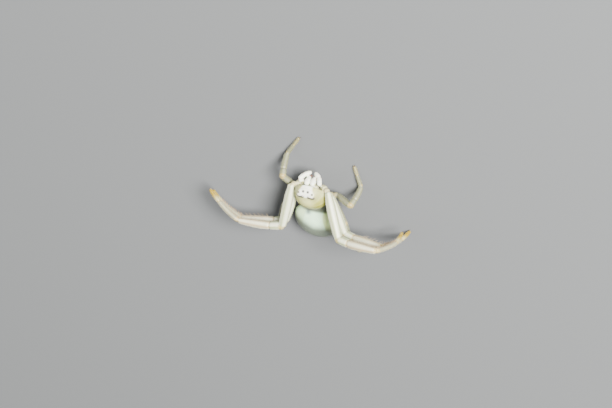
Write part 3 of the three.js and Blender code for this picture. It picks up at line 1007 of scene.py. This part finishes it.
def add_claws(material):
    """Claws that curl towards the inside of the leg, or on a low foot towards the ground."""
    soup = Soup()
    for seg in SEGMENTS:
        if seg["part"] != "tarsus":
            continue
        axis = unit(seg["end"] - seg["start"])
        inner = across(seg["inner"], axis)
        if seg["end"][2] < LOW_FOOT:
            inner = across(np.array([0, 0, -1.0]), axis)
        aside = np.cross(axis, inner)
        for sign in (-1, 1):
            root = seg["end"] - 0.07 * axis - 0.05 * inner + sign * CLAW_SPREAD * aside
            hook(soup, root, unit(axis + 0.25 * sign * aside), inner, CLAW_LENGTH, CLAW_RADIUS)
    points, faces = soup.arrays()
    points[:, 2] = np.maximum(points[:, 2], 0.002)
    claws = new_object("claws", points, faces)
    claws.data.materials.append(material)


def add_fangs(material):
    soup = Soup()
    for seg in SEGMENTS:
        if seg["part"] != "chelicera":
            continue
        axis = unit(seg["end"] - seg["start"])
        inward = np.array([-np.sign(seg["end"][0]), 0, 0])
        root = seg["end"] - 0.08 * axis
        hook(soup, root, unit(axis + 0.3 * inward), across(inward + (0, 0.6, 0), axis), FANG_LENGTH,
             FANG_RADIUS)
    points, faces = soup.arrays()
    fangs = new_object("fangs", points, faces)
    fangs.data.materials.append(material)


def coat_material(name, tint, gain):
    """Setae in the skin's own colour, brought part of the way to the tint."""
    material, tree, shader = node_material(name)
    marks = tree.nodes.new("ShaderNodeAttribute")
    marks.attribute_name = "markings"
    mix = tree.nodes.new("ShaderNodeMix")
    mix.data_type = "RGBA"
    mix.inputs["Factor"].default_value = gain
    tree.links.new(marks.outputs["Color"], mix.inputs["A"])
    mix.inputs["B"].default_value = (*tint, 1)
    tree.links.new(mix.outputs["Result"], shader.inputs["Base Color"])
    shader.inputs["Roughness"].default_value = 0.45
    return material


add_fuzz(coat_material("Spider_fuzz", linear(250, 248, 236), 0.22))
add_spines(coat_material("Spider_spine", linear(176, 132, 96), 0.6))
add_claws(plain_material("Spider_claw", linear(74, 44, 20), 0.3, 0.4))
add_fangs(plain_material("Spider_fang", FANG_BROWN, 0.25, 0.5))

# Camera at the photograph's viewing angle, worked out in the ground frame.
VIEW_TURN = math.radians(-32.27)
VIEW_RISE = math.radians(47.55)
VIEW_ROLL_UP = np.array([0.2, -0.82, -0.54])
VIEW_DISTANCE = 250
SENSOR_WIDTH = 36
FRAME_WIDTH_PX = 612
FRAME_HEIGHT_PX = 408
PX_PER_MM = 10
BODY_PX = (311.8, 194.5)


def add_camera():
    level = math.cos(VIEW_RISE)
    back = np.array([math.sin(VIEW_TURN) * level, -math.cos(VIEW_TURN) * level, math.sin(VIEW_RISE)])
    up = across(VIEW_ROLL_UP, back)
    right = np.cross(up, back)
    aside = (FRAME_WIDTH_PX / 2 - BODY_PX[0]) / PX_PER_MM
    above = (BODY_PX[1] - FRAME_HEIGHT_PX / 2) / PX_PER_MM
    middle = np.array([0, 0, BODY_HEIGHT])
    place = (middle + back * VIEW_DISTANCE + right * aside + up * above) * MM + SHIFT
    data = bpy.data.cameras.new("View")
    data.sensor_width = SENSOR_WIDTH
    data.lens = SENSOR_WIDTH * VIEW_DISTANCE / (FRAME_WIDTH_PX / PX_PER_MM)
    data.clip_start = 0.01
    data.clip_end = 10
    camera = bpy.data.objects.new("View", data)
    bpy.context.scene.collection.objects.link(camera)
    turn = Matrix((right, up, back)).transposed().to_4x4()
    turn.translation = Vector(place)
    camera.matrix_world = turn
    bpy.context.scene.camera = camera


add_camera()

# Lights, in watts and metres, round a point of the spider, and the floor it stands on.
LIT_POINT = Vector((0, 0.001, 0.002))
FLOOR_HALF_WIDTH = 1.2
FLOOR_GREY = (0.13, 0.135, 0.14, 1)
WORLD_STRENGTH = 0.34
LIGHTS = [
    {"name": "Key", "direction": (-0.9, -0.7, 1.0), "distance": 0.4, "size": 0.16, "power": 9.0,
     "colour": (1.0, 0.99, 0.95)},
    {"name": "Fill", "direction": (0.9, -0.2, 0.8), "distance": 0.5, "size": 0.4, "power": 1.0,
     "colour": (0.97, 1.0, 0.98)},
]


def add_area(name, direction, distance, size, power, colour):
    """A round light that shines on the spider from the given direction."""
    data = bpy.data.lights.new(name, "AREA")
    data.shape = "DISK"
    data.size = size
    data.energy = power
    data.color = colour
    light = bpy.data.objects.new(name, data)
    bpy.context.scene.collection.objects.link(light)
    target = Vector(SHIFT) + LIT_POINT
    light.location = target + Vector(unit(direction)) * distance
    light.rotation_euler = (-Vector(unit(direction))).to_track_quat("-Z", "Y").to_euler()


def add_stage():
    half = FLOOR_HALF_WIDTH
    corners = [(-half, -half, 0), (half, -half, 0), (half, half, 0), (-half, half, 0)]
    mesh = bpy.data.meshes.new("Floor")
    mesh.from_pydata(corners, [], [(0, 1, 2, 3)])
    floor = bpy.data.objects.new("Floor", mesh)
    bpy.context.scene.collection.objects.link(floor)
    material, tree, shader = node_material("Floor")
    shader.inputs["Base Color"].default_value = FLOOR_GREY
    shader.inputs["Roughness"].default_value = 0.9
    floor.data.materials.append(material)
    world = bpy.data.worlds.new("Studio")
    bpy.context.scene.world = world
    world.use_nodes = True
    world.node_tree.nodes["Background"].inputs["Color"].default_value = (1.0, 1.0, 0.98, 1)
    world.node_tree.nodes["Background"].inputs["Strength"].default_value = WORLD_STRENGTH
    for light in LIGHTS:
        add_area(**light)


add_stage()
